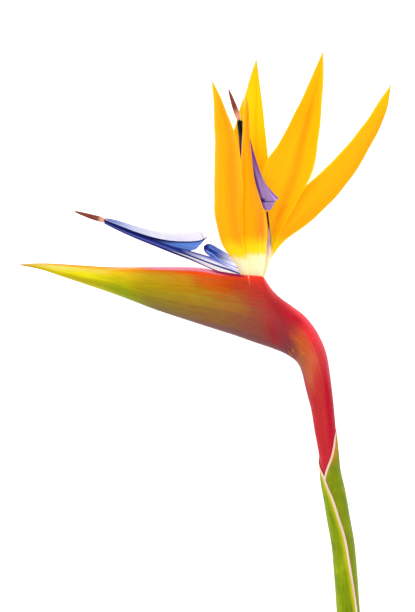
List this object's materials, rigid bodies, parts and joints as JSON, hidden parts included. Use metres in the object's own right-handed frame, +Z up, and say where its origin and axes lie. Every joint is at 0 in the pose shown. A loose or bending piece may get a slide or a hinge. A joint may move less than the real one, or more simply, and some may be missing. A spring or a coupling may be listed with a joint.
{
  "type": "bird of paradise flower",
  "caption": "Cut crane-like flower lying on its side: beak-shaped bract on a bent stalk, crest of pointed orange sepals and blue arrow-shaped petals.",
  "frame": {"origin": "on the table, under the middle of the lying flower", "axes": "+Z up from the table, +Y along the flower from the cut stalk towards the tips of the sepals, +X across it, away from the beak"},
  "size_m": [0.185, 0.3196, 0.0483],
  "materials": {
    "spathe": "waxy plant skin, olive shading into orange, maroon and bright red at the neck",
    "stalk": "matt green stalk with a pale, moist cut end",
    "sheath": "waxy leaf sheath, finely ribbed green with cream margins",
    "ovary": "smooth pale cream",
    "sepal": "satin orange petal with fine lengthwise veins",
    "petal": "satin blue petal, finely ribbed",
    "petal_upright": "satin purple petal, finely ribbed",
    "style": "matt brown, paler towards its root"
  },
  "bodies": {
    "root": {"spathe": "spathe", "peduncle": "stalk", "stem_sheath": "sheath", "floret_a_ovary": "ovary", "floret_a_sepal_outer": "sepal", "floret_a_sepal_middle": "sepal", "floret_a_sepal_inner": "sepal", "floret_a_arrow": "petal", "floret_a_hood": "petal", "floret_a_style": "style", "floret_b_ovary": "ovary", "floret_b_sepal_back": "sepal", "floret_b_sepal_wide": "sepal", "floret_b_sepal_side": "sepal", "floret_b_arrow": "petal_upright", "floret_b_hood": "petal_upright", "floret_b_style": "style"}
  },
  "joints": []
}
